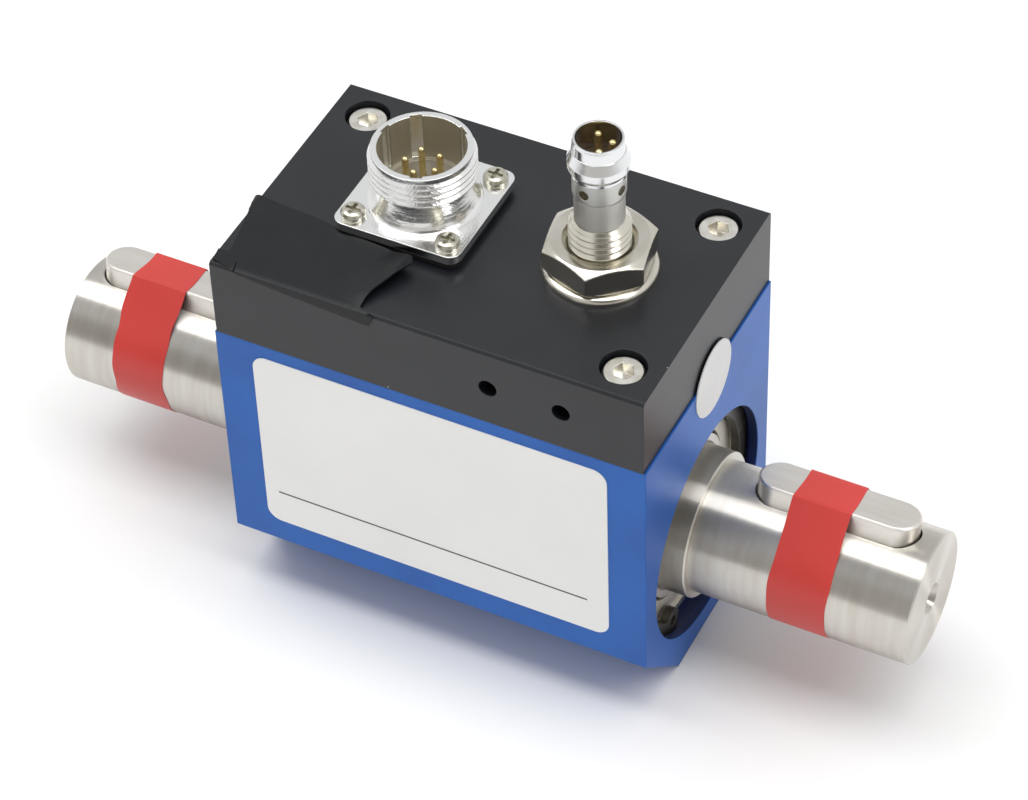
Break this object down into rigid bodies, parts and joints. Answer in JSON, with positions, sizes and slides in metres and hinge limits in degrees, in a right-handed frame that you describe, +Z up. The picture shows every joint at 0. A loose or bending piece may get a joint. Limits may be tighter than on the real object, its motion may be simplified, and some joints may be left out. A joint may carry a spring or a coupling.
{
  "type": "rotary torque sensor",
  "caption": "Inline rotary torque sensor: a keyed steel shaft on shielded bearings in a chamfered blue housing, with a black cover that carries a round connector and a speed pickup.",
  "frame": {"origin": "middle of the housing's base, in the plane that it stands on", "axes": "+X along the shaft to its right end, -Y out of the label face, +Z up to the cover"},
  "size_m": [0.1237, 0.0384, 0.0793],
  "materials": {
    "anodised_blue": "satin anodised",
    "anodised_black": "satin anodised",
    "screw_steel": "plated",
    "shaft_steel": "turned and ground",
    "bearing_steel": "ground",
    "shield_steel": "pressed",
    "black_steel": "phosphated",
    "cage_brass": "pressed",
    "slip_ring_bronze": "polished",
    "resin": "moulded",
    "carbon": "pressed",
    "gauge_foil": "foil",
    "nickel": "nickel plated",
    "bright_plating": "polished",
    "gold_contact": "gold plated",
    "gasket_rubber": "matt",
    "carrier_plastic": "moulded",
    "lead_insulation": "smooth",
    "tape_red": "glossy film",
    "vinyl_black": "satin film",
    "label_film": "satin film",
    "lamp_lens": "clear"
  },
  "bodies": {
    "frame": {"housing": "anodised_blue", "cover": "anodised_black", "cover_screws": "screw_steel", "left_outer_ring": "bearing_steel", "right_outer_ring": "bearing_steel", "left_shields": "shield_steel", "right_shields": "shield_steel", "left_circlip": "black_steel", "right_circlip": "black_steel", "brush_block": "resin", "brushes": "carbon", "leaf_springs": "slip_ring_bronze", "leaf_rivets": "slip_ring_bronze", "brush_block_screws": "screw_steel", "connector_shell": "bright_plating", "connector_insert": "carrier_plastic", "connector_pins": "gold_contact", "connector_gasket": "gasket_rubber", "connector_screws": "screw_steel", "signal_leads": "lead_insulation", "pickup_barrel": "nickel", "pickup_face": "carrier_plastic", "pickup_carrier": "carrier_plastic", "pickup_pins": "gold_contact", "pickup_lamps": "lamp_lens", "pickup_nut": "nickel", "pickup_washer": "nickel", "label_plate": "label_film", "joint_sticker": "label_film", "black_strip": "vinyl_black"},
    "rotor": {"torsion_shaft": "shaft_steel", "left_key": "shaft_steel", "right_key": "shaft_steel", "left_tape_band": "tape_red", "right_tape_band": "tape_red", "left_inner_ring": "bearing_steel", "right_inner_ring": "bearing_steel", "slip_ring_sleeve": "resin", "slip_rings": "slip_ring_bronze", "strain_gauges": "gauge_foil", "speed_disc": "shaft_steel", "disc_set_screw": "black_steel"},
    "left_ball_set": {"left_balls": "bearing_steel", "left_cage": "cage_brass"},
    "right_ball_set": {"right_balls": "bearing_steel", "right_cage": "cage_brass"}
  },
  "joints": [
    {"name": "shaft_spin", "type": "hinge", "parent": "frame", "child": "rotor", "pos_m": [0, 0, 0.019], "axis": [1, 0, 0], "continuous": true},
    {"name": "left_ball_orbit", "type": "hinge", "parent": "frame", "child": "left_ball_set", "pos_m": [-0.02365, 0, 0.019], "axis": [1, 0, 0], "continuous": true},
    {"name": "right_ball_orbit", "type": "hinge", "parent": "frame", "child": "right_ball_set", "pos_m": [0.02365, 0, 0.019], "axis": [1, 0, 0], "continuous": true}
  ],
  "couplings": [
    {"joint": "left_ball_orbit", "follows": "shaft_spin", "ratio": 0.43269},
    {"joint": "right_ball_orbit", "follows": "shaft_spin", "ratio": 0.43269}
  ]
}
